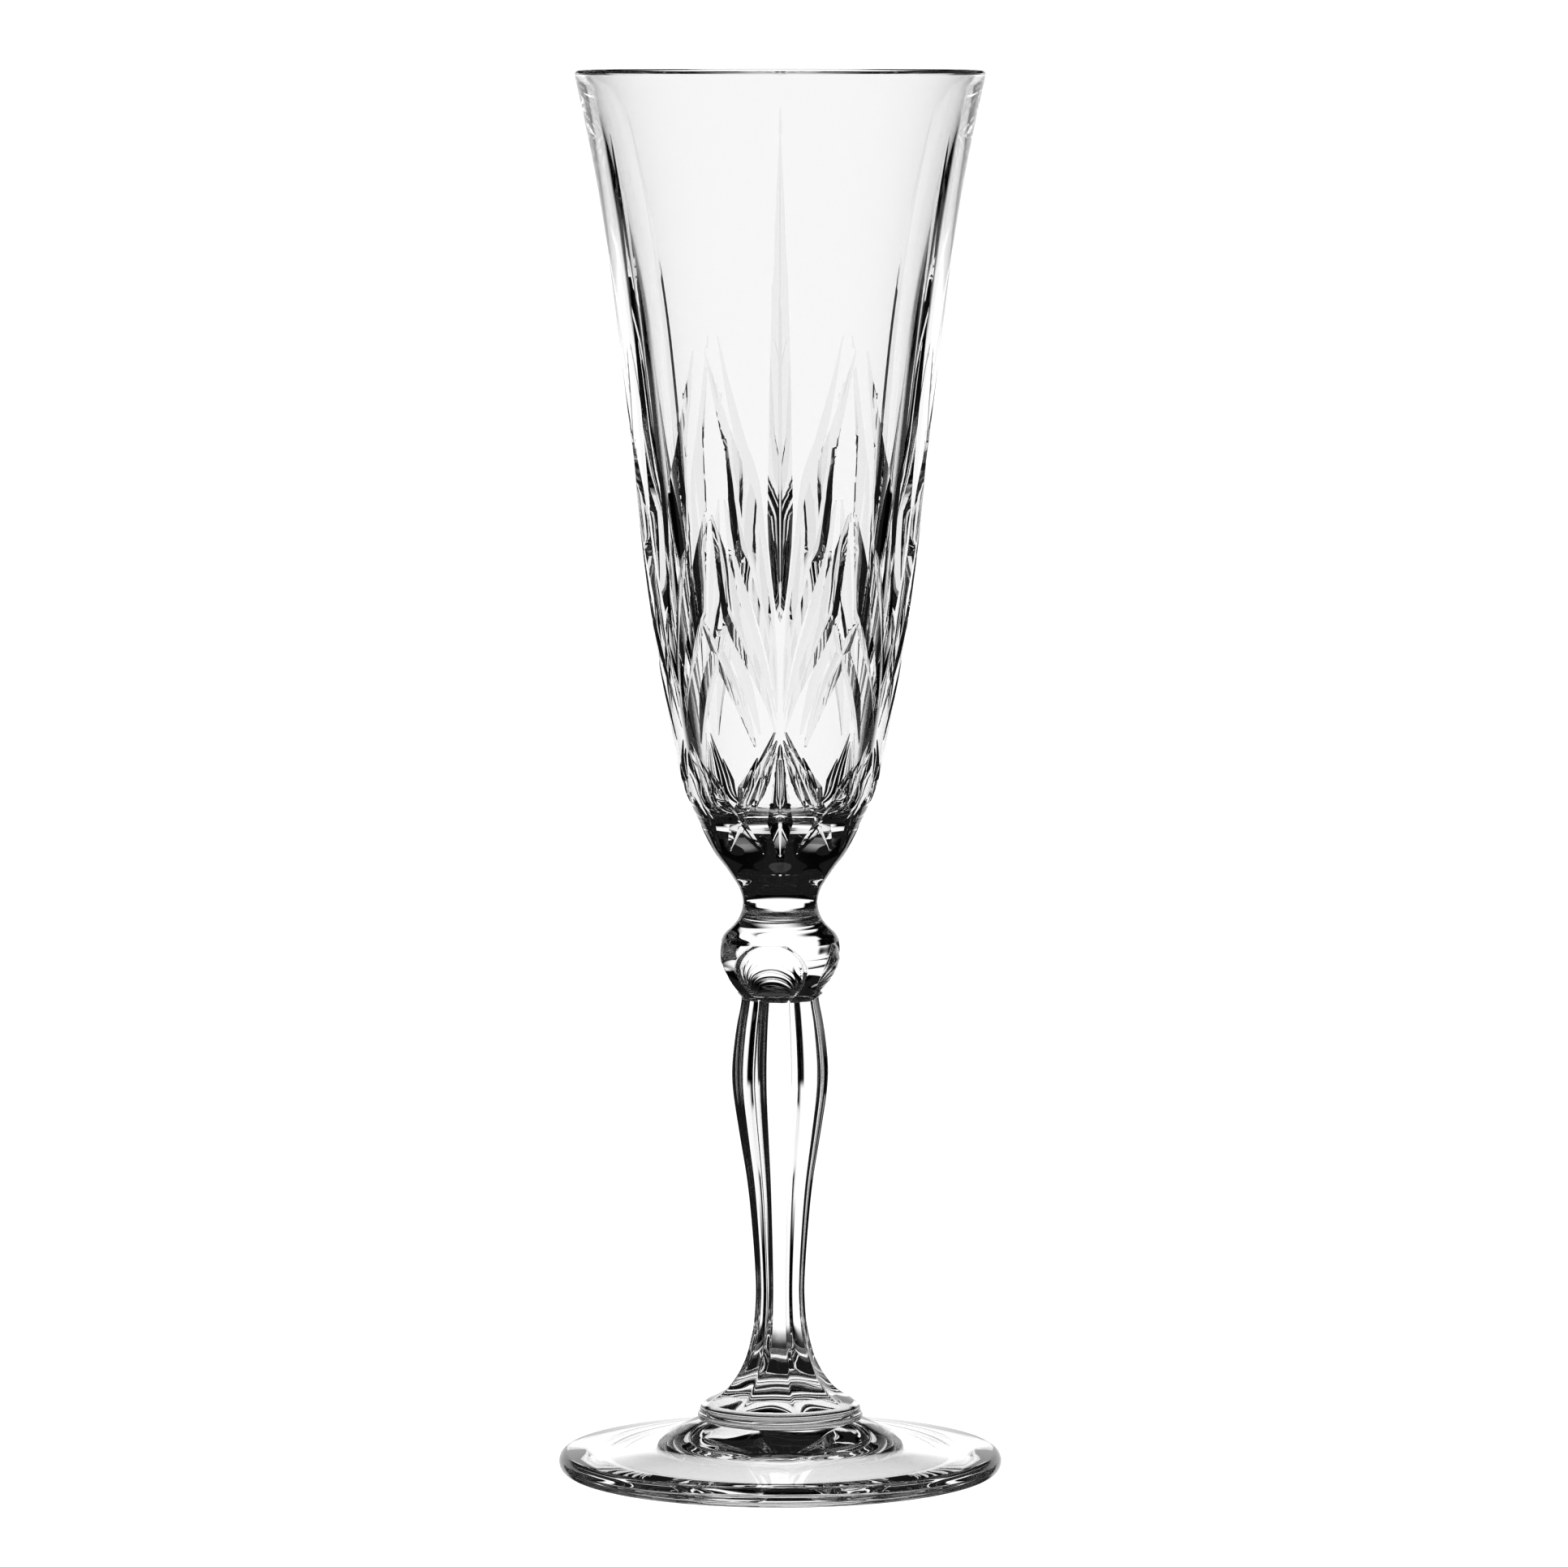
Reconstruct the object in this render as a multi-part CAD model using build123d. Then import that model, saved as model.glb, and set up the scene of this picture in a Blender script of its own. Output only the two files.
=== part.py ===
"""Cut-crystal champagne flute: bowl, knop, fluted stem, collar and foot, fused end to end.

Millimetres, +Z up. The origin is the centre of the foot's underside, on the table.
"""
from build123d import *
from math import cos, radians, sin, tan
import os

# Driving dimensions
height = 220.0
rim_radius = 32.0
lip_thickness = 1.3
cavity_floor = 103.5
crease_height = 103.0
crease_radius = 12.8
bowl_base = 92.5
bowl_base_radius = 6.5
neck_radius = 5.86
neck_height = 90.0
shoulder_radius = 9.3
shoulder_height = 83.9
knop_radius = 10.05
knop_height = 81.8
knop_base = 75.2
knop_base_radius = 6.2
baluster_radius = 7.8
baluster_height = 63.5
waist_radius = 3.95
waist_height = 28.6
stem_base = 11.0
stem_base_radius = 11.6
collar_radius = 13.0
collar_base = 8.4
collar_groove = 9.45
collar_seam_radius = 12.55
collar_flange_radius = 12.65
collar_flange_height = 10.1
foot_radius = 34.9
foot_edge = 3.15
foot_hollow = 3.0
rest_ring_inner = 28.5
rest_ring_outer = 33.5

# Outside of the neck, from the bowl's base down to the shoulder, as (radius, height)
neck_side = [
    (bowl_base_radius, bowl_base),
    (neck_radius, neck_height),
    (6.35, 87.9),
    (7.9, 85.9),
    (shoulder_radius, shoulder_height),
]

# Outside of the knop, from the shoulder down to the stem, as (radius, height)
knop_side = [
    (shoulder_radius, shoulder_height),
    (knop_radius, knop_height),
    (9.5, 79.5),
    (8.6, 77.9),
    (knop_base_radius, knop_base),
]

# Arris line of the stem between two panels, as (radius, height)
stem_side = [
    (knop_base_radius, knop_base),
    (6.8, 71.9),
    (7.5, 67.3),
    (baluster_radius, baluster_height),
    (7.1, 56.6),
    (5.4, 46.4),
    (4.35, 36.2),
    (waist_radius, waist_height),
    (4.45, 22.4),
    (5.55, 18.1),
    (7.1, 15.1),
    (8.8, 13.0),
    (stem_base_radius, stem_base),
]

# Top of the foot, from under the collar out to the rounded edge, as (radius, height)
foot_side = [
    (collar_seam_radius, collar_base),
    (14.6, 7.4),
    (17.4, 6.0),
    (22.0, 4.9),
    (28.0, 4.0),
    (rest_ring_outer, foot_edge),
]

# Cut decoration: slopes in degrees, shells in millimetres
sectors = 6
plain_slope = 26.0
blade_tip_slope = 18.0
blade_slope_gain = 1.7
blade_slope_limit = 52.0
groove_clearance = 0.6
stem_panels = 8
stem_turn = -10.0
shells = 4
shell_ridges = 5
shell_radius = 9.0
shell_bite = 0.9
shell_top = 77.9
shell_step_in = 0.28
shell_step_down = 0.95

# Outside of the uncut bowl, as (radius, height), from the lip down to the crease ring
bowl_side = [
    (rim_radius, height - lip_thickness / 2),
    (28.4, 201.8),
    (25.5, 181.4),
    (23.15, 161.0),
    (20.9, 140.7),
    (18.55, 125.4),
    (16.65, 115.2),
    (14.85, 107.6),
    (crease_radius, crease_height),
]

# Solid base of the bowl, from the crease ring down to the knop
bowl_cone = [
    (crease_radius, crease_height),
    (11.4, 99.9),
    (10.4, 98.0),
    (8.95, 96.1),
    (7.45, 94.0),
    (bowl_base_radius, bowl_base),
]

# Inside of the bowl, as (radius, height), from the lip down to the rounded floor
cavity_side = [
    (rim_radius - lip_thickness, height - lip_thickness / 2),
    (26.9, 207.4),
    (22.4, 188.6),
    (20.3, 175.5),
    (18.2, 156.0),
    (16.4, 140.7),
    (14.4, 125.4),
    (13.1, 116.5),
    (12.1, 109.5),
    (10.9, 105.8),
    (8.2, 104.0),
    (4.0, 103.6),
]


def bowl_radius(z):
    """Radius of the uncut outside at a height, between the profile's points."""
    profile = bowl_side + bowl_cone[1:]
    for (r_high, z_high), (r_low, z_low) in zip(profile, profile[1:]):
        if z >= z_low:
            share = (z - z_low) / (z_high - z_low)
            return r_low + share * (r_high - r_low)
    return bowl_base_radius


# One sector's mitre cuts: stations of (degrees from the sector's centre, height, width).
# The first and last stations are the points where the wheel leaves the glass.
fan_blade = [(0, 212.5, 0), (0, 198.9, 1.7), (0, 180, 3.1), (0, 159, 3.9), (0, 152, 4.05),
             (0, 147.4, 3.65), (0, 142.5, 2.7), (0, 137.6, 1.4), (0, 135.2, 0)]
inner_blade = [(28.3, 178.7, 0), (24, 170, 1.2), (18.5, 161, 2.4), (15.2, 154.7, 4.7), (14.1, 150.3, 4.9),
               (12.3, 144.9, 4.5), (8.4, 138.1, 3.0), (4.4, 130.3, 1.3), (1.2, 119.6, 0)]
outer_blade = [(28.9, 153, 0), (25.6, 146.3, 2.1), (23.3, 141.9, 3.0), (21.3, 136.8, 3.5), (15, 130, 2.6),
               (7.8, 124.1, 1.2), (1.5, 117, 0)]
lattice_cut = [(38, 136.3, 0), (30, 130, 1.7), (21.5, 123.6, 1.8), (11.9, 114.4, 0)]
star_point = [(0, 115.9, 0), (0, 103.7, 4.3), (0, 97.5, 0)]
star_ray = [(0.9, 115.7, 0), (9, 110.6, 1.9), (16.9, 105, 0)]
star_cross = [(1.5, 117.4, 0), (15, 109.8, 2.1), (30, 103.4, 2.3), (49, 98, 0)]
star_leaf = [(14.4, 112.8, 0), (21, 109, 2.1), (27.8, 105, 0)]
blades = [inner_blade, outer_blade]
plain_cuts = [lattice_cut, star_ray, star_cross, star_leaf]


def mirrored(cut):
    return [(-angle, z, width) for angle, z, width in cut]


def on_bowl(angle, z, outward=0.0):
    """Point on the uncut bowl, moved along the radius."""
    radius = bowl_radius(z) + outward
    return Vector(radius * sin(radians(angle)), -radius * cos(radians(angle)), z)


def blade_slope(width):
    """A blade's steep flank gets steeper as the cut gets wider."""
    return min(blade_tip_slope + blade_slope_gain * width**2, blade_slope_limit)


def mitre_cutter(cut, steep_right=False, steep_left=False):
    """V-shaped solid that follows a cut from its upper tip, with its ridge inside the glass."""
    points = [on_bowl(angle, z) for angle, z, width in cut]
    sections = []
    for index in range(1, len(cut) - 1):
        angle, z, width = cut[index]
        along = (points[index + 1] - points[index - 1]).normalized()
        outward = Vector(sin(radians(angle)), -cos(radians(angle)), 0)
        side = along.cross(outward).normalized()
        rise_right = tan(radians(blade_slope(width) if steep_right else plain_slope))
        rise_left = tan(radians(blade_slope(width) if steep_left else plain_slope))
        depth = width / (1 / rise_right + 1 / rise_left)
        ridge = points[index] - outward * depth + side * (depth / rise_right - width / 2)
        above = points[index] + outward * groove_clearance
        right = above - side * (width / 2 + groove_clearance / rise_right)
        left = above + side * (width / 2 + groove_clearance / rise_left)
        sections.append(Wire.make_polygon([ridge, left, right]))
    tips = [Vertex(*on_bowl(angle, z, groove_clearance)) for angle, z, width in (cut[0], cut[-1])]
    return Solid.make_loft([tips[0]] + sections + [tips[1]], ruled=True)


def sector_cutters():
    """All the cuts of one sector: a blade or cut on one side and its mirror image on the other."""
    cutters = [mitre_cutter(fan_blade, steep_right=True, steep_left=True), mitre_cutter(star_point)]
    for blade in blades:
        cutters.append(mitre_cutter(blade, steep_right=True))
        cutters.append(mitre_cutter(mirrored(blade), steep_left=True))
    for cut in plain_cuts:
        cutters.append(mitre_cutter(cut))
        cutters.append(mitre_cutter(mirrored(cut)))
    return cutters


def make_bowl():
    lip = ThreePointArc(
        bowl_side[0],
        (rim_radius - lip_thickness / 2, height),
        cavity_side[0],
    )
    floor_centre = (0, cavity_floor)
    outside = Spline(*bowl_side)
    base = Spline(*bowl_cone)
    inside = Spline(*cavity_side, floor_centre, tangents=((-0.35, -1), (-1, 0)))
    bottom = Polyline((bowl_base_radius, bowl_base), (0, bowl_base), floor_centre)
    profile = Plane.XZ * make_face([lip, outside, base, bottom, inside])
    bowl = revolve(profile, Axis.Z)
    cutters = sector_cutters()
    for sector in range(sectors):
        turn = Rot(0, 0, sector * 360 / sectors)
        bowl = bowl - [turn * cutter for cutter in cutters]
    return bowl


def make_knop():
    """Neck and knop in one gather: smooth above, four ridged shell facets below."""
    neck = Spline(*neck_side)
    side = Spline(*knop_side)
    ends = Polyline((knop_base_radius, knop_base), (0, knop_base), (0, bowl_base), (bowl_base_radius, bowl_base))
    knop = revolve(Plane.XZ * make_face([neck, side, ends]), Axis.Z)
    for shell in range(shells):
        turn = Rot(0, 0, stem_turn + shell * 360 / shells)
        for ridge in range(shell_ridges):
            reach = knop_radius + shell_radius - shell_bite - shell_step_in * ridge
            drop = shell_top - shell_step_down * ridge
            knop = knop - turn * (Pos(0, -reach, drop) * Sphere(shell_radius))
    return knop


def make_stem():
    """Eight flat panels that run down the baluster and out over the flare."""
    flat = cos(radians(180 / stem_panels))
    right = Spline(*[(radius * flat, z) for radius, z in stem_side])
    left = mirror(right, Plane.YZ)
    top = Line(left @ 0, right @ 0)
    bottom = Line(left @ 1, right @ 1)
    outline = make_face([right, left, top, bottom])
    slab = extrude(Plane.XZ * outline, stem_base_radius * 2, both=True)
    stem = Rot(0, 0, stem_turn) * slab
    for panel in range(1, stem_panels // 2):
        stem = stem & (Rot(0, 0, stem_turn + panel * 360 / stem_panels) * slab)
    return stem


def make_collar():
    """Ring between stem and foot: a rounded flange over a thin lip, with a groove between them."""
    groove = (collar_seam_radius, collar_groove)
    outline = [
        Polyline(
            (collar_seam_radius, collar_base),
            (0, collar_base),
            (0, stem_base),
            (stem_base_radius, stem_base),
        ),
        ThreePointArc(
            (stem_base_radius, stem_base),
            (collar_flange_radius, collar_flange_height),
            groove,
        ),
        ThreePointArc(
            groove,
            (collar_radius, (collar_groove + collar_base) / 2),
            (collar_seam_radius, collar_base),
        ),
    ]
    return revolve(Plane.XZ * make_face(outline), Axis.Z)


def make_foot():
    """Shallow cone with a rounded edge, hollowed underneath inside its rest ring."""
    top = Spline(*foot_side)
    edge = ThreePointArc(foot_side[-1], (foot_radius, foot_edge / 2), (rest_ring_outer, 0))
    rest = Polyline((rest_ring_outer, 0), (0, 0), (0, collar_base), (collar_seam_radius, collar_base))
    foot = revolve(Plane.XZ * make_face([top, edge, rest]), Axis.Z)
    dome_radius = (rest_ring_inner**2 + foot_hollow**2) / (2 * foot_hollow)
    return foot - Pos(0, 0, foot_hollow - dome_radius) * Sphere(dome_radius)


makers = {
    "bowl": make_bowl,
    "knop": make_knop,
    "stem": make_stem,
    "collar": make_collar,
    "foot": make_foot,
}
os.makedirs("parts", exist_ok=True)
for name, make in makers.items():
    export_step(make(), f"parts/{name}.step")
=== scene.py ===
from math import cos, pi, radians, sin, sqrt, tan

import bmesh
import bpy
import numpy as np
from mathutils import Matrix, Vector


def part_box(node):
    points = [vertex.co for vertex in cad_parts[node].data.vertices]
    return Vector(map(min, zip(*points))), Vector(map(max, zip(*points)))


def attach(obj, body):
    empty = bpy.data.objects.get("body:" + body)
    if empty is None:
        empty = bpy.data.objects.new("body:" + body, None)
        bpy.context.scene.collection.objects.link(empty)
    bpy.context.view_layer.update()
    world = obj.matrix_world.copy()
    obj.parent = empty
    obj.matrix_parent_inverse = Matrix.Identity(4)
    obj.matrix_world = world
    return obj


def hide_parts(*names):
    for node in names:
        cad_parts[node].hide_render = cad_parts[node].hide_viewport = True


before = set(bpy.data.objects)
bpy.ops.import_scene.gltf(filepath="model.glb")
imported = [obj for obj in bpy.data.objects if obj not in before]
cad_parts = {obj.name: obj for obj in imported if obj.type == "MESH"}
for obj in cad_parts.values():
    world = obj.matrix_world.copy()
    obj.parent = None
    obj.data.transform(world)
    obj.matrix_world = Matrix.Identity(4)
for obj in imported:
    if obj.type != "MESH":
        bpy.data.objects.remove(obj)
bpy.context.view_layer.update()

MM = 0.001
scene = bpy.context.scene

# ---------------------------------------------------------------------------
# Sizes, in millimetres, read from the frame where a node gives them
# ---------------------------------------------------------------------------


def top_of(node):
    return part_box(node)[1][2] / MM


def base_of(node):
    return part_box(node)[0][2] / MM


def radius_of(node):
    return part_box(node)[1][0] / MM


RIM_HEIGHT = top_of("bowl")
BOWL_BASE = base_of("bowl")
RIM_RADIUS = radius_of("bowl")
KNOP_BASE = base_of("knop")
STEM_BASE = base_of("stem")
COLLAR_BASE = base_of("collar")
FOOT_RADIUS = radius_of("foot")
COLLAR_RADIUS = radius_of("collar")

LIP_THICKNESS = 1.3
BOWL_BASE_RADIUS = 6.5
CREASE_HEIGHT = 103.0
CREASE_RADIUS = 12.8
KNOP_BASE_RADIUS = 6.2
ROUND_STEPS = 288

# Places of the three glasses in every piece's list of materials
CLEAR_SLOT, JOINT_SLOT, CUT_SLOT = 0, 1, 2


def curve_through(points, per_span):
    """Points along the natural cubic spline through some points, spaced by chord length."""
    given = np.array(points, dtype=float)
    knots = np.concatenate([[0], np.cumsum(np.linalg.norm(np.diff(given, axis=0), axis=1))])
    gaps = np.diff(knots)
    count = len(given)
    matrix = np.eye(count)
    right = np.zeros_like(given)
    for i in range(1, count - 1):
        matrix[i, i - 1] = gaps[i - 1]
        matrix[i, i] = 2 * (gaps[i - 1] + gaps[i])
        matrix[i, i + 1] = gaps[i]
        right[i] = 6 * ((given[i + 1] - given[i]) / gaps[i] - (given[i] - given[i - 1]) / gaps[i - 1])
    bends = np.linalg.solve(matrix, right)
    result = []
    for i in range(count - 1):
        steps = np.linspace(0, 1, per_span, endpoint=False)
        for t in steps:
            a, b = 1 - t, t
            lift = gaps[i] ** 2 / 6
            result.append(
                a * given[i] + b * given[i + 1]
                + lift * ((a**3 - a) * bends[i] + (b**3 - b) * bends[i + 1])
            )
    result.append(given[-1])
    return [tuple(point) for point in result]


def arc_points(centre, radius, start, end, steps):
    """Points on a circle arc in the profile plane, angles in degrees."""
    angles = np.linspace(radians(start), radians(end), steps)
    return [(centre[0] + radius * cos(a), centre[1] + radius * sin(a)) for a in angles]


def mesh_object(name, vertices, faces, slots):
    """Object made from points in millimetres, with one material slot for each face."""
    mesh = bpy.data.meshes.new(name)
    mesh.from_pydata([tuple(c * MM for c in v) for v in vertices], [], faces)
    for material in GLASS:
        mesh.materials.append(material)
    mesh.polygons.foreach_set("material_index", slots)
    mesh.validate()
    obj = bpy.data.objects.new(name, mesh)
    scene.collection.objects.link(obj)
    return obj


def turned(name, profile, joint_span):
    """Solid of revolution. The profile starts and ends on the axis, and joint_span is the span of it
    that lies against the next piece."""
    steps = ROUND_STEPS
    vertices = [(0, 0, profile[0][1])]
    for r, z in profile[1:-1]:
        for step in range(steps):
            a = 2 * pi * step / steps
            vertices.append((r * cos(a), r * sin(a), z))
    vertices.append((0, 0, profile[-1][1]))
    rings = len(profile) - 2
    faces = []
    slots = []

    def ring(k, step):
        return 1 + k * steps + step % steps

    def slot_of(span):
        return JOINT_SLOT if span == joint_span else CLEAR_SLOT

    for step in range(steps):
        faces.append((0, ring(0, step + 1), ring(0, step)))
        slots.append(slot_of(0))
    for k in range(rings - 1):
        for step in range(steps):
            faces.append((ring(k, step), ring(k, step + 1), ring(k + 1, step + 1), ring(k + 1, step)))
            slots.append(slot_of(k + 1))
    last = len(vertices) - 1
    for step in range(steps):
        faces.append((ring(rings - 1, step), ring(rings - 1, step + 1), last))
        slots.append(slot_of(len(profile) - 2))
    return mesh_object(name, vertices, faces, slots)


def finish_shading(obj, crease):
    """Smooth shading, with a sharp edge wherever faces meet at more than the crease angle in degrees."""
    mesh = obj.data
    mesh.polygons.foreach_set("use_smooth", [True] * len(mesh.polygons))
    mesh.set_sharp_from_angle(angle=radians(crease))


# ---------------------------------------------------------------------------
# Materials
# ---------------------------------------------------------------------------


REFRACTIVE_INDEX = 1.53
BUMP_STRENGTH = 0.25
BUMP_PER_GRAIN = 0.0015


def crystal(name, tint, grain):
    """Polished glass with a faint unevenness in its surface. The grain size is in metres."""
    material = bpy.data.materials.new(name)
    material.use_nodes = True
    nodes = material.node_tree.nodes
    links = material.node_tree.links
    shader = nodes["Principled BSDF"]
    shader.inputs["Base Color"].default_value = tint
    shader.inputs["Roughness"].default_value = 0.0
    shader.inputs["IOR"].default_value = REFRACTIVE_INDEX
    shader.inputs["Transmission Weight"].default_value = 1.0
    place = nodes.new("ShaderNodeTexCoord")
    noise = nodes.new("ShaderNodeTexNoise")
    noise.inputs["Scale"].default_value = 1 / grain
    noise.inputs["Detail"].default_value = 1.0
    bump = nodes.new("ShaderNodeBump")
    bump.inputs["Strength"].default_value = BUMP_STRENGTH
    bump.inputs["Distance"].default_value = grain * BUMP_PER_GRAIN
    links.new(place.outputs["Object"], noise.inputs["Vector"])
    links.new(noise.outputs["Fac"], bump.inputs["Height"])
    links.new(bump.outputs["Normal"], shader.inputs["Normal"])
    return material


def fused_joint():
    """Inside the glass, where two gathers are fused: light goes straight on."""
    material = bpy.data.materials.new("fused_joint")
    material.use_nodes = True
    nodes = material.node_tree.nodes
    nodes.clear()
    out = nodes.new("ShaderNodeOutputMaterial")
    clear = nodes.new("ShaderNodeBsdfTransparent")
    material.node_tree.links.new(clear.outputs["BSDF"], out.inputs["Surface"])
    return material


# The cut faces are tinted grey as painted shade, which darkens them so that the cutting stands out
CRYSTAL = crystal("crystal", tint=(1, 1, 1, 1), grain=0.009)
FUSED = fused_joint()
# Painted shade: the grey tint of the cut faces, not a colour of the glass
CUT_SHADED_GLASS = crystal("cut_glass_painted_shade", tint=(0.86, 0.86, 0.86, 1), grain=0.0006)
GLASS = [CRYSTAL, FUSED, CUT_SHADED_GLASS]

# ---------------------------------------------------------------------------
# Bowl
# ---------------------------------------------------------------------------

# Outside of the uncut bowl, as (radius, height), from the lip down to the crease ring
bowl_side = [
    (RIM_RADIUS, RIM_HEIGHT - LIP_THICKNESS / 2),
    (28.4, 201.8),
    (25.5, 181.4),
    (23.15, 161.0),
    (20.9, 140.7),
    (18.55, 125.4),
    (16.65, 115.2),
    (14.85, 107.6),
    (CREASE_RADIUS, CREASE_HEIGHT),
]
# Inside of the bowl, as (radius, height), from the lip down to the floor
cavity_side = [
    (RIM_RADIUS - LIP_THICKNESS, RIM_HEIGHT - LIP_THICKNESS / 2),
    (26.9, 207.4),
    (22.4, 188.6),
    (20.3, 175.5),
    (18.2, 156.0),
    (16.4, 140.7),
    (14.4, 125.4),
    (13.1, 116.5),
    (12.1, 109.5),
    (10.9, 105.8),
    (8.2, 104.0),
    (4.0, 103.6),
    (0, 103.5),
]
# Solid base of the bowl, as (radius, height), from the knop up to the crease ring
bowl_cone = [(BOWL_BASE_RADIUS, BOWL_BASE), (7.45, 94.0), (8.95, 96.1), (10.4, 98.0), (11.4, 99.9),
             (CREASE_RADIUS, CREASE_HEIGHT)]
CONE_LINE = curve_through(bowl_cone, per_span=8)
SIDE_LINE = curve_through(bowl_side, per_span=12)


def bowl_radius(z):
    """Radius of the uncut outside at a height."""
    heights = [p[1] for p in reversed(SIDE_LINE)]
    radii = [p[0] for p in reversed(SIDE_LINE)]
    if z >= CREASE_HEIGHT:
        return float(np.interp(z, heights, radii))
    return float(np.interp(z, [p[1] for p in CONE_LINE], [p[0] for p in CONE_LINE]))


SECTORS = 6
CUT_STEPS = 6
CORNERS = 4
# How far a cutter stands out of the glass, and how far past a cut's edge it may reach to do so
GROOVE_CLEARANCE = 0.6
EDGE_REACH = 2.5
# Width of the flat root as a share of the cut's width, and the width where a cut has run out
ROOT_SHARE = 0.15
NARROWEST_CUT = 0.05
# Slope of a flank in degrees, as (height, slope) from its foot up
fan_flank = [(135, 30), (140, 46), (152, 46), (158, 34), (165, 27), (178, 20), (186, 13), (192, 5), (212, 3)]
inner_flank = [(120, 18), (141, 20), (145, 26), (147, 50), (155, 52), (160, 46), (163, 18), (170, 12), (179, 8)]
outer_flank = [(117, 18), (132, 20), (135, 26), (137, 50), (142, 52), (144, 42), (146.5, 18), (153, 8)]
soft_flank = [(117, 22), (150, 22), (165, 14), (179, 8)]
star_flank = [(95, 44), (116, 40)]
lattice_flank = [(114, 18), (136, 14)]
# Cuts of one sector, as (degrees from the sector's centre, height, width), from the upper tip to the lower one
fan_blade = [(0, 212.5, 0), (0, 198.9, 1.7), (0, 190, 2.4), (0, 180, 3.1), (0, 170, 3.6), (0, 159, 3.9),
             (0, 152, 4.05), (0, 147.4, 3.65), (0, 142.5, 2.7), (0, 137.6, 1.4), (0, 135.2, 0)]
inner_blade = [(28.3, 178.7, 0), (24, 170, 1.2), (18.5, 161, 2.4), (15.2, 154.7, 4.7), (14.1, 150.3, 4.9),
               (12.3, 144.9, 4.5), (8.4, 138.1, 3.0), (4.4, 130.3, 1.3), (1.2, 119.6, 0)]
outer_blade = [(28.9, 153, 0), (25.6, 146.3, 2.1), (23.3, 141.9, 3.0), (21.3, 136.8, 3.5), (15, 130, 2.6),
               (7.8, 124.1, 1.2), (1.5, 117, 0)]
lattice_cut = [(38, 136.3, 0), (30, 130, 2.5), (21.5, 123.6, 2.6), (11.9, 114.4, 0)]
star_point = [(0, 115.9, 0), (0, 103.7, 4.3), (0, 97.5, 0)]
star_ray = [(0.9, 115.7, 0), (9, 110.6, 1.9), (16.9, 105, 0)]
star_cross = [(1.5, 117.4, 0), (15, 109.8, 2.1), (30, 103.4, 2.3), (49, 98, 0)]
star_leaf = [(14.4, 112.8, 0), (21, 109, 2.1), (27.8, 105, 0)]
# Each cut with the slopes of its right and left flanks. Paired cuts have a mirror image.
centre_cuts = [(fan_blade, fan_flank, fan_flank), (star_point, star_flank, star_flank)]
paired_cuts = [(inner_blade, inner_flank, soft_flank), (outer_blade, outer_flank, soft_flank),
               (lattice_cut, lattice_flank, lattice_flank), (star_ray, star_flank, star_flank),
               (star_cross, star_flank, star_flank), (star_leaf, star_flank, star_flank)]


def mirrored(cut):
    return [(-angle, z, width) for angle, z, width in cut]


def on_bowl(angle, z, outward=0.0):
    """Point on the uncut bowl, moved along the radius."""
    r = bowl_radius(z) + outward
    return Vector((r * sin(radians(angle)), -r * cos(radians(angle)), z))


def slope_at(flank, z):
    return radians(float(np.interp(z, [height for height, slope in flank], [slope for height, slope in flank])))


def mitre_cutter(cut, turn, right_flank, left_flank):
    """V-section solid with a narrow flat root, swept along a cut from its upper tip and tapered to its tips."""
    path = curve_through([(angle, z) for angle, z, width in cut], CUT_STEPS)
    stations = np.arange(len(cut)) * CUT_STEPS
    widths = np.interp(np.arange(len(path)), stations, [width for angle, z, width in cut])
    line = [(angle, z, width) for (angle, z), width in zip(path, widths)]
    points = [on_bowl(angle + turn, z) for angle, z, width in line]
    vertices = [tuple(on_bowl(line[0][0] + turn, line[0][1], GROOVE_CLEARANCE))]
    count = len(line)
    rows = 0
    for i in range(1, count - 1):
        angle, z, width = line[i]
        if width < NARROWEST_CUT:
            continue
        along = (points[i + 1] - points[i - 1]).normalized()
        out = Vector((sin(radians(angle + turn)), -cos(radians(angle + turn)), 0))
        left = along.cross(out).normalized()
        rise_right, rise_left = tan(slope_at(right_flank, z)), tan(slope_at(left_flank, z))
        root = ROOT_SHARE * width
        depth = (width - root) / (1 / rise_right + 1 / rise_left)
        root_right = -width / 2 + depth / rise_right
        lift_right = min(GROOVE_CLEARANCE, EDGE_REACH * rise_right)
        lift_left = min(GROOVE_CLEARANCE, EDGE_REACH * rise_left)
        edges = ((-width / 2 - lift_right / rise_right, lift_right), (root_right, -depth),
                 (root_right + root, -depth), (width / 2 + lift_left / rise_left, lift_left))
        for across, lift in edges:
            vertices.append(tuple(points[i] + out * lift + left * across))
        rows += 1
    vertices.append(tuple(on_bowl(line[-1][0] + turn, line[-1][1], GROOVE_CLEARANCE)))
    last = len(vertices) - 1
    faces = []
    for k in range(CORNERS):
        a, b = 1 + k, 1 + (k + 1) % CORNERS
        faces.append((0, b, a))
        for row in range(rows - 1):
            lo, hi = row * CORNERS, (row + 1) * CORNERS
            faces.append((lo + a, lo + b, hi + b, hi + a))
        end = (rows - 1) * CORNERS
        faces.append((end + a, end + b, last))
    obj = mesh_object("cutter", vertices, faces, [CUT_SLOT] * len(faces))
    bm = bmesh.new()
    bm.from_mesh(obj.data)
    bmesh.ops.recalc_face_normals(bm, faces=bm.faces)
    bm.to_mesh(obj.data)
    bm.free()
    return obj


WELD = 0.002 * MM
SLIVER_FACES = 40


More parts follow.
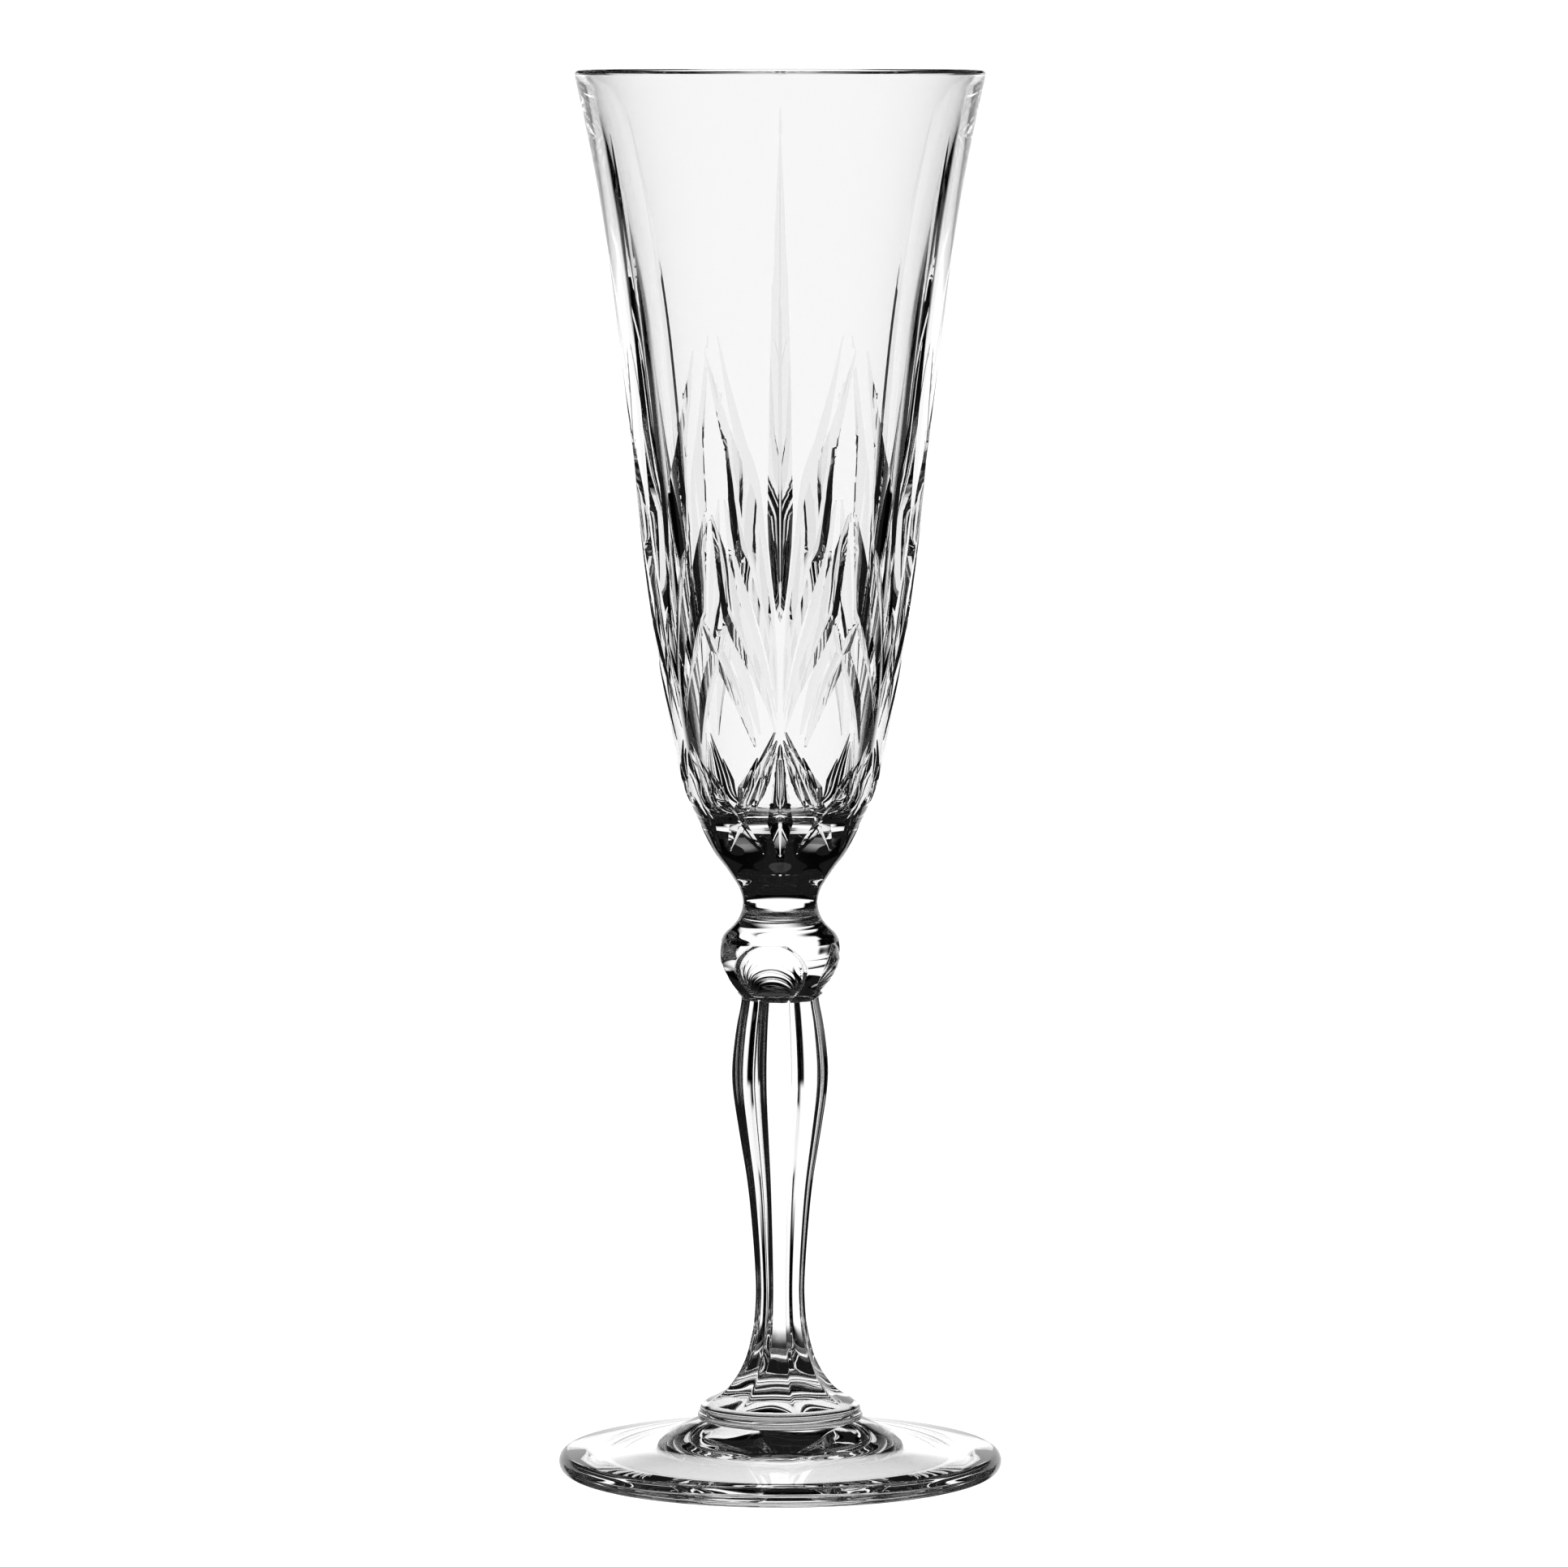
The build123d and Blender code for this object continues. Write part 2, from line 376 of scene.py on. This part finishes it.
def drop_slivers(mesh):
    """Weld the corners that cuts share and take out the slivers of glass left where cuts cross."""
    bm = bmesh.new()
    bm.from_mesh(mesh)
    bmesh.ops.triangulate(bm, faces=bm.faces)
    bmesh.ops.remove_doubles(bm, verts=bm.verts, dist=WELD)
    bmesh.ops.dissolve_degenerate(bm, edges=bm.edges, dist=WELD)
    bmesh.ops.triangulate(bm, faces=bm.faces)
    unseen = set(bm.faces)
    slivers = []
    while unseen:
        walk = [unseen.pop()]
        island = []
        while walk:
            face = walk.pop()
            island.append(face)
            for edge in face.edges:
                if len(edge.link_faces) == 2:
                    walk += [other for other in edge.link_faces if other in unseen]
                    unseen.difference_update(edge.link_faces)
        if len(island) < SLIVER_FACES:
            slivers += island
    bmesh.ops.delete(bm, geom=slivers, context="FACES")
    bm.to_mesh(mesh)
    bm.free()


BOWL_CREASE = 12


def make_bowl():
    """Turned bowl with its lip, less the cutters of all its sectors."""
    lip_centre = (RIM_RADIUS - LIP_THICKNESS / 2, RIM_HEIGHT - LIP_THICKNESS / 2)
    profile = [(0, BOWL_BASE)]
    profile += CONE_LINE[:-1]
    profile += SIDE_LINE[::-1][:-1]
    profile += arc_points(lip_centre, LIP_THICKNESS / 2, start=0, end=180, steps=9)
    profile += curve_through(cavity_side, per_span=8)[1:]
    bowl = turned("bowl_glass", profile, joint_span=0)
    cutters = []
    for sector in range(SECTORS):
        turn = sector * 360 / SECTORS
        for cut, right_flank, left_flank in centre_cuts:
            cutters.append(mitre_cutter(cut, turn, right_flank, left_flank))
        for cut, right_flank, left_flank in paired_cuts:
            cutters.append(mitre_cutter(cut, turn, right_flank, left_flank))
            cutters.append(mitre_cutter(mirrored(cut), turn, left_flank, right_flank))
    group = bpy.data.collections.new("cutters")
    for cutter in cutters:
        scene.collection.objects.unlink(cutter)
        group.objects.link(cutter)
    scene.collection.children.link(group)
    modifier = bowl.modifiers.new("cuts", "BOOLEAN")
    modifier.operation = "DIFFERENCE"
    modifier.operand_type = "COLLECTION"
    modifier.collection = group
    modifier.solver = "MANIFOLD"
    graph = bpy.context.evaluated_depsgraph_get()
    cut_mesh = bpy.data.meshes.new_from_object(bowl.evaluated_get(graph))
    bowl.modifiers.clear()
    bowl.data = cut_mesh
    for cutter in cutters:
        bpy.data.objects.remove(cutter)
    scene.collection.children.unlink(group)
    bpy.data.collections.remove(group)
    drop_slivers(bowl.data)
    finish_shading(bowl, BOWL_CREASE)
    return bowl


bowl = make_bowl()
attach(bowl, "root")
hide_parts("bowl")

# ---------------------------------------------------------------------------
# Knop, stem, collar and foot
# ---------------------------------------------------------------------------
TURN = radians(-10)
SHELLS = 4
PANELS = 8
KNOP_STEPS = 440
STEM_STEPS = 384
STEM_BASE_RADIUS = 11.6


def shaped(name, profile, radius_at, steps):
    """Closed solid round the axis. The profile is (r, z) from bottom to top, without the axis points;
    radius_at(r, z, angle) gives the real radius. Its flat ends lie against the next pieces."""
    count = len(profile)
    angles = np.linspace(0, 2 * pi, steps, endpoint=False)
    vertices = []
    for r, z in profile:
        radii = radius_at(r, z, angles)
        vertices += [(radius * sin(a), -radius * cos(a), z) for radius, a in zip(radii, angles)]
    faces = []
    for k in range(count - 1):
        for step in range(steps):
            here, after = step, (step + 1) % steps
            lo, hi = k * steps, (k + 1) * steps
            faces.append((lo + here, lo + after, hi + after, hi + here))
    sides = len(faces)
    bottom, top = len(vertices), len(vertices) + 1
    vertices += [(0, 0, profile[0][1]), (0, 0, profile[-1][1])]
    for step in range(steps):
        after = (step + 1) % steps
        faces.append((bottom, after, step))
        lo = (count - 1) * steps
        faces.append((top, lo + step, lo + after))
    slots = [CLEAR_SLOT] * sides + [JOINT_SLOT] * (len(faces) - sides)
    return mesh_object(name, vertices, faces, slots)


def keep(obj, node, crease):
    """Finish a piece and put it in the place of its CAD node."""
    finish_shading(obj, crease)
    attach(obj, "root")
    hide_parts(node)


# Outsides of the neck and of the knop below it, each as (radius, height), upwards
neck_side = [(9.3, 83.9), (8.85, 84.9), (7.9, 85.9), (6.95, 86.9), (6.35, 87.9), (5.99, 89.0), (5.86, 90.0),
             (6.0, 91.1), (BOWL_BASE_RADIUS, BOWL_BASE)]
knop_side = [(KNOP_BASE_RADIUS, KNOP_BASE), (7.3, 76.4), (8.6, 77.9), (9.5, 79.5), (10.0, 80.9), (10.05, 81.8),
             (9.75, 82.9), (9.3, 83.9)]
# Heights of a shell's ridges over its foot, and half the distance between the two corners they spring from
RIDGES = [0.9, 2.0, 3.0, 4.1, 5.5, 7.4, 9.0]
SHELL_CHORD = 4.9
SHELL_FOOT = 75.8
SHELL_RADIUS = 9.2
# How far a shell is sunk, how wide its edge is, and how deep it dips for each mm from ridge to ridge
SHELL_DEPTH = 0.65
SHELL_EDGE = 0.8
SCALLOP = 0.07
LOWEST_ARC = 1e-3


def shell_level(across, up):
    """Height of the arc through a point, of the arcs that all spring from the shell's two corners."""
    up = np.maximum(up, LOWEST_ARC)
    centre = (across**2 + up**2 - SHELL_CHORD**2) / (2 * up)
    return centre + np.sqrt(SHELL_CHORD**2 + centre**2)


def knop_radius_at(r, z, angles):
    """Round neck and knop, with ridged shells sunk into the knop."""
    if z < SHELL_FOOT or z > neck_side[0][1]:
        return np.full_like(angles, r)
    step = 2 * pi / SHELLS
    local = (angles - TURN + step / 2) % step - step / 2
    across = local * SHELL_RADIUS
    level = shell_level(across, np.full_like(across, z - SHELL_FOOT))
    offset = np.zeros_like(across)
    for low, high in zip(RIDGES, RIDGES[1:]):
        t = (level - low) / (high - low)
        scallop = (1 - (2 * t - 1) ** 2) * SCALLOP * (high - low)
        offset = np.where((t >= 0) & (t < 1), offset - scallop, offset)
    edge = np.clip((RIDGES[-1] - level) / SHELL_EDGE, 0, 1)
    return r + np.where(level < RIDGES[-1], offset, 0) - SHELL_DEPTH * edge * edge * (3 - 2 * edge)


def make_knop():
    profile = curve_through(knop_side, per_span=22)[:-1] + curve_through(neck_side, per_span=8)
    return shaped("knop_glass", profile, knop_radius_at, KNOP_STEPS)


# Arris line of the stem, as (radius, height), upwards
stem_side = [(STEM_BASE_RADIUS, STEM_BASE), (10.3, 11.9), (8.8, 13.0), (7.85, 14.1), (7.1, 15.1), (6.5, 16.1),
             (5.55, 18.1), (4.95, 20.2), (4.45, 22.4), (4.05, 26.0), (3.95, 28.6), (4.02, 31.1), (4.35, 36.2),
             (4.8, 41.3), (5.4, 46.4), (6.25, 51.5), (7.1, 56.6), (7.7, 61.0), (7.8, 63.5), (7.5, 67.3),
             (6.8, 71.9), (6.35, 74.1), (KNOP_BASE_RADIUS, KNOP_BASE)]
# Shares of the radius: depth of a flute, rounding of an arris, and extra rounding towards a flute's middle
FLUTE = 0.05
ARRIS_ROUNDING = 0.01
FLUTE_ROUNDING = 0.02
# Heights over which the flutes turn into the round ends
BASE_BLEND = 1.2
TOP_BLEND = 0.4


def stem_radius_at(r, z, angles):
    """Eight hollow flutes with softened arrises between them, turned round to the ends of the stem."""
    step = 2 * pi / PANELS
    local = (angles - TURN + step / 2) % step - step / 2
    share = np.abs(local) / (step / 2)
    flat = cos(step / 2) / np.cos(local)
    hollow = flat - FLUTE * (1 - share**2)
    soft = 1 - ARRIS_ROUNDING - (1 - share) * FLUTE_ROUNDING
    section = np.minimum(hollow, soft)
    blend = min(1, (z - STEM_BASE) / BASE_BLEND, (KNOP_BASE - z) / TOP_BLEND)
    return r * (blend * section + (1 - blend))


def make_stem():
    profile = curve_through(stem_side, per_span=10)
    return shaped("stem_glass", profile, stem_radius_at, STEM_STEPS)


def round_radius(r, z, angles):
    return np.full_like(angles, r)


COLLAR_LIP = 0.5
# Outside of the collar over its lip, as (radius, height), upwards
collar_side = [(COLLAR_RADIUS - 0.6, COLLAR_BASE + 1.05), (COLLAR_RADIUS - 0.35, COLLAR_BASE + 1.5),
               (COLLAR_RADIUS - 0.75, COLLAR_BASE + 2.1), (STEM_BASE_RADIUS, STEM_BASE)]


def make_collar():
    """Rounded lip, a groove above it, and a rounded flange under the stem."""
    lip_centre = (COLLAR_RADIUS - COLLAR_LIP, COLLAR_BASE + COLLAR_LIP)
    side = arc_points(lip_centre, COLLAR_LIP, start=-75, end=60, steps=8)
    side += curve_through(collar_side, per_span=8)
    return shaped("collar_glass", side, round_radius, ROUND_STEPS)


FOOT_HOLLOW = 3.0
REST_RING_INNER = 28.5
EDGE_DEPTH = 1.4
EDGE_HEIGHT = 3.15
REST_RING_OUTER = FOOT_RADIUS - EDGE_DEPTH
EDGE_STEPS = 17
HOLLOW_STEPS = 24
# Top of the foot, as (radius, height), from under the collar outwards
foot_side = [(COLLAR_RADIUS - 0.37, COLLAR_BASE), (14.6, 7.4), (17.4, 6.0), (22.0, 4.9), (28.0, 4.0),
             (REST_RING_OUTER, EDGE_HEIGHT)]


def make_foot():
    """Shallow cone with a rounded edge, standing on a ring round its domed hollow."""
    dome = (REST_RING_INNER**2 + FOOT_HOLLOW**2) / (2 * FOOT_HOLLOW)
    radii = np.linspace(0, REST_RING_INNER, HOLLOW_STEPS)
    hollow = [(r, FOOT_HOLLOW - dome + sqrt(dome**2 - r**2)) for r in radii]
    middle = EDGE_HEIGHT / 2
    angles = np.linspace(-pi / 2, pi / 2, EDGE_STEPS)
    edge = [(REST_RING_OUTER + EDGE_DEPTH * cos(a), middle + middle * sin(a)) for a in angles]
    top = curve_through(foot_side[::-1], per_span=10)
    profile = hollow + edge + top[1:] + [(0, COLLAR_BASE)]
    return turned("foot_glass", profile, joint_span=len(profile) - 2)


keep(make_knop(), "knop", crease=40)
keep(make_stem(), "stem", crease=35)
keep(make_collar(), "collar", crease=35)
keep(make_foot(), "foot", crease=30)

# ---------------------------------------------------------------------------
# Camera, cards and floor
# ---------------------------------------------------------------------------
# In metres, as the rest of the set is
CAMERA_DISTANCE = 1.28
CAMERA_HEIGHT = 0.228
TARGET = Vector((0.0006, 0, 0.1087))
FRAME_WIDTH = 0.2455
SENSOR_WIDTH = 36

camera_data = bpy.data.cameras.new("camera")
camera = bpy.data.objects.new("camera", camera_data)
scene.collection.objects.link(camera)
camera.location = (TARGET.x, -CAMERA_DISTANCE, CAMERA_HEIGHT)
look = TARGET - camera.location
camera.rotation_euler = look.to_track_quat("-Z", "Y").to_euler()
camera_data.sensor_width = SENSOR_WIDTH
camera_data.lens = SENSOR_WIDTH * look.length / FRAME_WIDTH
camera_data.clip_end = 50
scene.camera = camera

WHITE_LIGHT = 1.12


def white_light(name):
    """Even white light."""
    material = bpy.data.materials.new(name)
    material.use_nodes = True
    nodes = material.node_tree.nodes
    nodes.clear()
    out = nodes.new("ShaderNodeOutputMaterial")
    lamp = nodes.new("ShaderNodeEmission")
    lamp.inputs["Strength"].default_value = WHITE_LIGHT
    material.node_tree.links.new(lamp.outputs["Emission"], out.inputs["Surface"])
    return material


def lit_backdrop(name, bands):
    """Bands of even light that fade over their edges. Each is (bottom gone, bottom full, top full, top gone,
    half width full, half width gone), from the card's middle."""
    material = bpy.data.materials.new(name)
    material.use_nodes = True
    nodes = material.node_tree.nodes
    links = material.node_tree.links
    nodes.clear()
    out = nodes.new("ShaderNodeOutputMaterial")
    lamp = nodes.new("ShaderNodeEmission")
    place = nodes.new("ShaderNodeTexCoord")
    parts = nodes.new("ShaderNodeSeparateXYZ")
    across = nodes.new("ShaderNodeMath")
    across.operation = "ABSOLUTE"
    links.new(place.outputs["Object"], parts.inputs["Vector"])
    links.new(parts.outputs["X"], across.inputs[0])

    def fade(value, start, end, first, last):
        step = nodes.new("ShaderNodeMapRange")
        step.interpolation_type = "SMOOTHSTEP"
        for socket, number in zip(("From Min", "From Max", "To Min", "To Max"), (start, end, first, last)):
            step.inputs[socket].default_value = number
        links.new(value, step.inputs["Value"])
        return step.outputs["Result"]

    def combine(operation, first, second):
        joined = nodes.new("ShaderNodeMath")
        joined.operation = operation
        links.new(first, joined.inputs[0])
        links.new(second, joined.inputs[1])
        return joined.outputs["Value"]

    total = None
    for low_gone, low_full, high_full, high_gone, wide_full, wide_gone in bands:
        up = combine("MULTIPLY", fade(parts.outputs["Y"], low_gone, low_full, 0, 1),
                     fade(parts.outputs["Y"], high_full, high_gone, WHITE_LIGHT, 0))
        band = combine("MULTIPLY", up, fade(across.outputs["Value"], wide_full, wide_gone, 1, 0))
        total = band if total is None else combine("ADD", total, band)
    links.new(total, lamp.inputs["Strength"])
    links.new(lamp.outputs["Emission"], out.inputs["Surface"])
    return material


HOLE_EDGE = 0.001
NO_HOLE = -1


def lit_pool(name, full, gone, hole_back, hole):
    """Round patch of light on the floor, full inside one radius and gone outside the other. It is clear
    outside, and inside a round hole that is set back from its middle. With NO_HOLE it has none."""
    material = bpy.data.materials.new(name)
    material.use_nodes = True
    nodes = material.node_tree.nodes
    links = material.node_tree.links
    nodes.clear()
    out = nodes.new("ShaderNodeOutputMaterial")
    lamp = nodes.new("ShaderNodeEmission")
    lamp.inputs["Strength"].default_value = WHITE_LIGHT
    clear = nodes.new("ShaderNodeBsdfTransparent")
    mix = nodes.new("ShaderNodeMixShader")
    place = nodes.new("ShaderNodeTexCoord")
    both = nodes.new("ShaderNodeMath")
    both.operation = "MULTIPLY"
    outer_edge = ((0, 0, 0), full, gone, 1, 0)
    hole_edge = ((0, hole_back, 0), hole - HOLE_EDGE, hole + HOLE_EDGE, 0, 1)
    for socket, (centre, start, end, first, last) in enumerate((outer_edge, hole_edge)):
        reach = nodes.new("ShaderNodeVectorMath")
        reach.operation = "DISTANCE"
        reach.inputs[1].default_value = centre
        step = nodes.new("ShaderNodeMapRange")
        step.interpolation_type = "SMOOTHSTEP"
        for label, number in zip(("From Min", "From Max", "To Min", "To Max"), (start, end, first, last)):
            step.inputs[label].default_value = number
        links.new(place.outputs["Object"], reach.inputs[0])
        links.new(reach.outputs["Value"], step.inputs["Value"])
        links.new(step.outputs["Result"], both.inputs[socket])
    links.new(both.outputs["Value"], mix.inputs["Fac"])
    links.new(clear.outputs["BSDF"], mix.inputs[1])
    links.new(lamp.outputs["Emission"], mix.inputs[2])
    links.new(mix.outputs["Shader"], out.inputs["Surface"])
    return material


def sheet(name, width, height, z, material):
    """Flat rectangle of the set, which isn't part of the object."""
    x, y = width / 2, height / 2
    mesh = bpy.data.meshes.new(name)
    mesh.from_pydata([(-x, -y, z), (x, -y, z), (x, y, z), (-x, y, z)], [], [(0, 1, 2, 3)])
    mesh.materials.append(material)
    obj = bpy.data.objects.new(name, mesh)
    scene.collection.objects.link(obj)
    return obj


def card(name, width, height, distance, material):
    """Sheet that the camera carries, squarely behind the glass, as on a turntable set."""
    obj = sheet(name, width, height, 0, material)
    obj.parent = camera
    obj.location = (0, 0, -distance)
    return obj


def seen_only(obj):
    """The camera sees it, and it doesn't light the glass."""
    obj.visible_glossy = obj.visible_transmission = obj.visible_diffuse = False


def light_only(obj):
    """It lights the glass, and the camera doesn't see it."""
    obj.visible_camera = False


DARK_STUDIO = 0.02
world = bpy.data.worlds.new("studio")
scene.world = world
world.use_nodes = True
background = world.node_tree.nodes["Background"]
background.inputs["Color"].default_value = (DARK_STUDIO, DARK_STUDIO, DARK_STUDIO, 1)

# How far behind the target each backdrop is, and its width and height
LIT_BACK = 1.0
LIT_SIZE = (3.6, 1.2)
SEEN_BACK = 6.0
SEEN_SIZE = (20, 20)
TOP_BAND = (0.10, 0.14, 0.27, 0.40, tan(radians(50)), tan(radians(58)))
UPPER_BAND = (-0.06, 0.02, 0.10, 0.14, tan(radians(37)), tan(radians(47)))
LOWER_BAND = (-0.45, -0.33, -0.06, 0.02, tan(radians(28)), tan(radians(33)))
bands_material = lit_backdrop("backdrop_lit", [TOP_BAND, UPPER_BAND, LOWER_BAND])
light_only(card("backdrop_lit", *LIT_SIZE, look.length + LIT_BACK, bands_material))
seen_only(card("backdrop_seen", *SEEN_SIZE, look.length + SEEN_BACK, white_light("backdrop_seen")))

# The floor is just under the foot, and the light patches are just under the floor, on planes of their own
FLOOR_SIZE = 12
FLOOR_Z = -0.0005
POOL_SIZE = 1.2
POOL_Z = -0.001
POOL_GAP = 0.0002
BEHIND_GLASS = 0.21
seen_only(sheet("floor", FLOOR_SIZE, FLOOR_SIZE, FLOOR_Z, white_light("floor")))

# Long patch behind the glass, and a round one under its foot
behind_material = lit_pool("floor_light", full=0.05, gone=0.14, hole_back=0, hole=NO_HOLE)
behind = sheet("floor_light", POOL_SIZE, POOL_SIZE, POOL_Z, behind_material)
behind.location = (0, BEHIND_GLASS, -POOL_GAP)
behind.scale = (0.5, 1.3, 1)
light_only(behind)
under_material = lit_pool("foot_light", full=0.026, gone=0.028, hole_back=0.004, hole=0.016)
light_only(sheet("foot_light", POOL_SIZE, POOL_SIZE, POOL_Z, under_material))

# Plain colours, and enough bounces for light to get through the layers of glass
scene.view_settings.view_transform = "Standard"
scene.view_settings.gamma = 0.8
scene.cycles.max_bounces = 32
scene.cycles.transmission_bounces = 32
scene.cycles.glossy_bounces = 24
scene.cycles.transparent_max_bounces = 16
